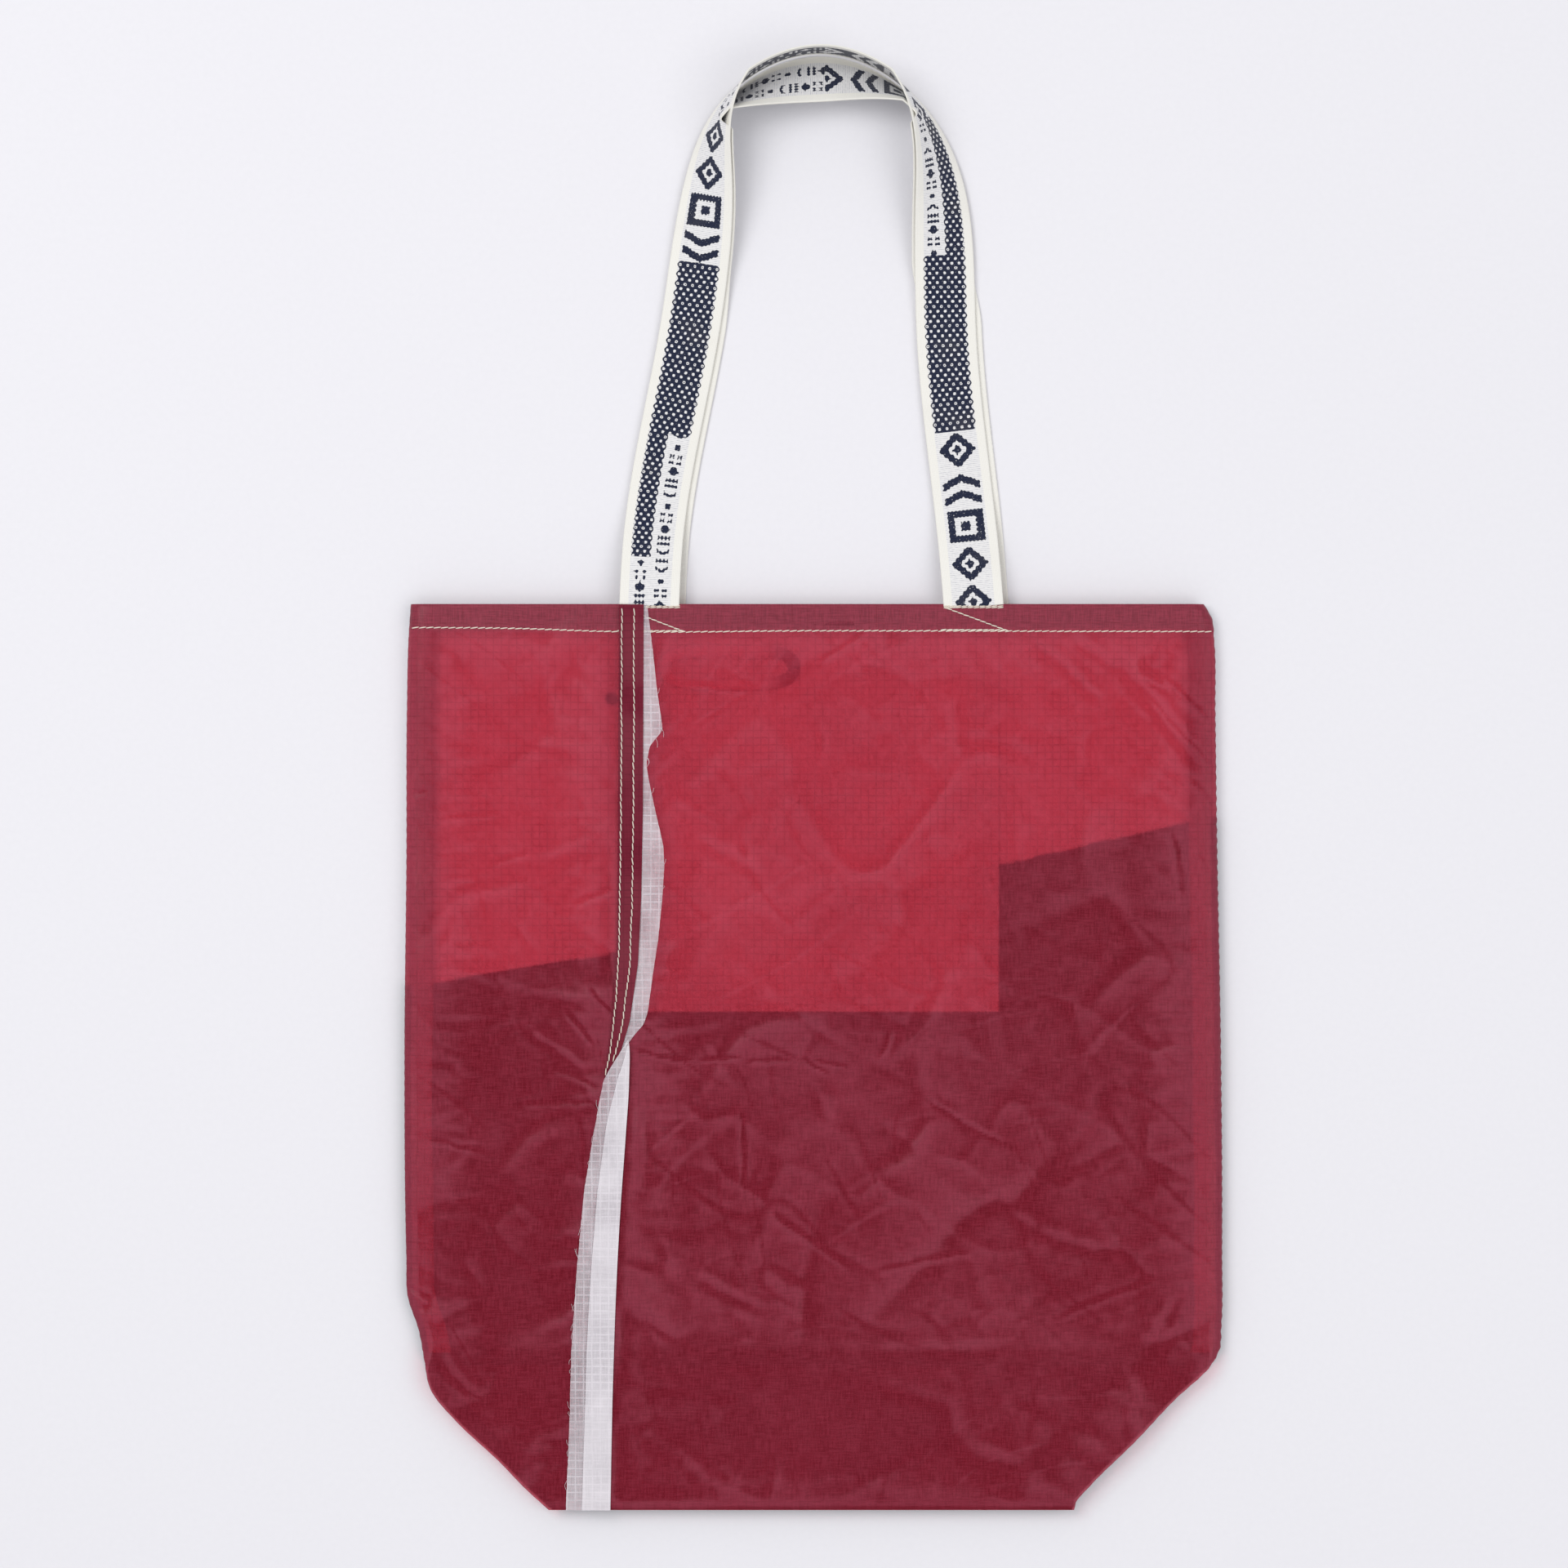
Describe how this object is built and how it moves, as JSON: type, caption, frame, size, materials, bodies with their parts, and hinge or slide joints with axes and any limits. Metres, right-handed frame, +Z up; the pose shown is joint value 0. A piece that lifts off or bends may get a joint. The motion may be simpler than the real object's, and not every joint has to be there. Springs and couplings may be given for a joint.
{
  "type": "foldable tote bag",
  "caption": "Flat-lying foldable shopping tote of thin ripstop with a tucked box base, a raw seam strip, patchwork back and woven tape shoulder handles.",
  "frame": {"origin": "on the surface the bag lies on, under the middle of the whole object's length and width", "axes": "+Z up out of the front face, +Y from the base towards the mouth and handles, +X across to the right seen from the front"},
  "size_m": [0.407, 0.732, 0.0316],
  "materials": {
    "red_ripstop": "thin crinkled translucent nylon ripstop with a soft sheen",
    "dark_ripstop": "thin crinkled nylon ripstop, near black piece",
    "white_ripstop": "translucent white ripstop with a fine grid",
    "jacquard_tape": "ribbed woven tape with cream selvedges and navy woven motifs",
    "cream_thread": "cream polyester thread",
    "dark_strap": "flat woven strap",
    "dark_plastic": "moulded button"
  },
  "bodies": {
    "back": {"back_panel_upper": "white_ripstop", "back_panel_lower": "dark_ripstop", "back_hem": "white_ripstop", "inner_pocket": "white_ripstop", "pocket_hem": "white_ripstop", "closure_loop": "dark_strap", "closure_button": "dark_plastic", "back_handle_ends": "jacquard_tape", "back_handle_stitches": "cream_thread"},
    "base_back": {"base_back": "dark_ripstop"},
    "base_front": {"base_front": "dark_ripstop"},
    "front": {"front_panel_left": "red_ripstop", "front_panel_right": "red_ripstop", "front_hem": "red_ripstop", "seam_allowance": "red_ripstop", "seam_stitches": "cream_thread", "rib_strip_upper": "white_ripstop", "rib_strip_lower": "white_ripstop", "front_handle_ends": "jacquard_tape", "front_handle_stitches": "cream_thread", "front_hem_stitches": "cream_thread"},
    "front_handle": {"front_handle": "jacquard_tape"},
    "back_handle": {"back_handle": "jacquard_tape"},
    "back_side_left": {"back_side_left_upper": "white_ripstop", "back_side_left_lower": "dark_ripstop", "side_seam_left": "red_ripstop"},
    "front_side_left": {"front_side_left": "red_ripstop"},
    "back_tuck_left": {"back_tuck_left": "dark_ripstop"},
    "front_tuck_left": {"front_tuck_left": "dark_ripstop"},
    "back_side_right": {"back_side_right_upper": "white_ripstop", "back_side_right_lower": "dark_ripstop", "side_seam_right": "red_ripstop"},
    "front_side_right": {"front_side_right": "red_ripstop"},
    "back_tuck_right": {"back_tuck_right": "dark_ripstop"},
    "front_tuck_right": {"front_tuck_right": "dark_ripstop"}
  },
  "joints": [
    {"name": "gusset_open", "type": "hinge", "parent": "back", "child": "base_back", "pos_m": [0, -0.366, 0.0008], "axis": [1, 0, 0], "range_deg": [0, 90]},
    {"name": "base_unfold", "type": "hinge", "parent": "base_back", "child": "base_front", "pos_m": [0, -0.293, 0.0055], "axis": [-1, 0, 0], "range_deg": [0, 180]},
    {"name": "front_square", "type": "hinge", "parent": "base_front", "child": "front", "pos_m": [0, -0.366, 0.0102], "axis": [1, 0, 0], "range_deg": [0, 90]},
    {"name": "back_side_left_fold", "type": "hinge", "parent": "back", "child": "back_side_left", "pos_m": [-0.1305, -0.366, 0.0008], "axis": [0, 1, 0], "range_deg": [0, 90]},
    {"name": "front_side_left_fold", "type": "hinge", "parent": "front", "child": "front_side_left", "pos_m": [-0.1305, -0.366, 0.0102], "axis": [0, -1, 0], "range_deg": [0, 90]},
    {"name": "back_tuck_left_fold", "type": "hinge", "parent": "back_side_left", "child": "back_tuck_left", "pos_m": [-0.1305, -0.366, 0.0008], "axis": [0.7071, -0.7071, 0], "range_deg": [0, 180]},
    {"name": "front_tuck_left_fold", "type": "hinge", "parent": "front_side_left", "child": "front_tuck_left", "pos_m": [-0.1305, -0.366, 0.0102], "axis": [-0.7071, 0.7071, 0], "range_deg": [0, 180]},
    {"name": "back_side_right_fold", "type": "hinge", "parent": "back", "child": "back_side_right", "pos_m": [0.1305, -0.366, 0.0008], "axis": [0, -1, 0], "range_deg": [0, 90]},
    {"name": "front_side_right_fold", "type": "hinge", "parent": "front", "child": "front_side_right", "pos_m": [0.1305, -0.366, 0.0102], "axis": [0, 1, 0], "range_deg": [0, 90]},
    {"name": "back_tuck_right_fold", "type": "hinge", "parent": "back_side_right", "child": "back_tuck_right", "pos_m": [0.1305, -0.366, 0.0008], "axis": [0.7071, 0.7071, 0], "range_deg": [0, 180]},
    {"name": "front_tuck_right_fold", "type": "hinge", "parent": "front_side_right", "child": "front_tuck_right", "pos_m": [0.1305, -0.366, 0.0102], "axis": [-0.7071, -0.7071, 0], "range_deg": [0, 180]},
    {"name": "front_handle_swing", "type": "hinge", "parent": "front", "child": "front_handle", "pos_m": [0, 0.0882, 0.011], "axis": [1, 0, 0], "range_deg": [0, 170]},
    {"name": "back_handle_swing", "type": "hinge", "parent": "back", "child": "back_handle", "pos_m": [0, 0.0882, 0], "axis": [1, 0, 0], "range_deg": [-170, 0]}
  ],
  "couplings": [
    {"joint": "base_unfold", "follows": "gusset_open", "ratio": 2},
    {"joint": "front_square", "follows": "gusset_open", "ratio": 1},
    {"joint": "back_side_left_fold", "follows": "gusset_open", "ratio": 1},
    {"joint": "front_side_left_fold", "follows": "gusset_open", "ratio": 1},
    {"joint": "back_tuck_left_fold", "follows": "gusset_open", "ratio": 2},
    {"joint": "front_tuck_left_fold", "follows": "gusset_open", "ratio": 2},
    {"joint": "back_side_right_fold", "follows": "gusset_open", "ratio": 1},
    {"joint": "front_side_right_fold", "follows": "gusset_open", "ratio": 1},
    {"joint": "back_tuck_right_fold", "follows": "gusset_open", "ratio": 2},
    {"joint": "front_tuck_right_fold", "follows": "gusset_open", "ratio": 2}
  ]
}
